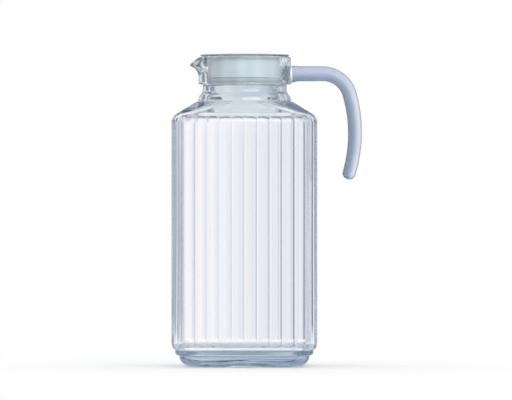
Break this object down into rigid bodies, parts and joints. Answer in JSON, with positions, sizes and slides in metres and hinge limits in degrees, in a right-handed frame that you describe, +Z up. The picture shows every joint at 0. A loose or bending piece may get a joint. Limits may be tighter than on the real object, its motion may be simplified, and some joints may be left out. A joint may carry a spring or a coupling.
{
  "type": "water jug",
  "caption": "Square fluted glass water jug with a round collar and pouring lip, a hook handle open at its lower end, and a push-in plug lid sealed by a soft ring",
  "frame": {"origin": "on the surface the jug stands on, under the middle of the whole outline, handle included; the axis of the body and collar is 17.6 mm towards -X from it", "axes": "+Z up; -X is the side of the pouring lip and +X the side of the handle; -Y is the side that faces the picture"},
  "size_m": [0.1476, 0.1124, 0.243],
  "materials": {
    "jug_glass": "clear pressed glass with a faint blue tint, fire polished",
    "handle_glass": "satin glass, blue grey",
    "lid_plastic": "milky translucent moulded plastic with a fine satin surface",
    "seal_rubber": "soft grey translucent silicone"
  },
  "bodies": {
    "jug": {"jug_body": "jug_glass", "handle": "handle_glass"},
    "seal": {"seal_ring": "seal_rubber"},
    "lid": {"lid": "lid_plastic"}
  },
  "joints": [
    {"name": "lid_lift", "type": "slide", "parent": "jug", "child": "seal", "axis": [0, 0, 1], "range_m": [0, 0.05]},
    {"name": "lid_turn", "type": "hinge", "parent": "seal", "child": "lid", "pos_m": [-0.01762, 0, 0.243], "axis": [0, 0, 1], "continuous": true}
  ]
}
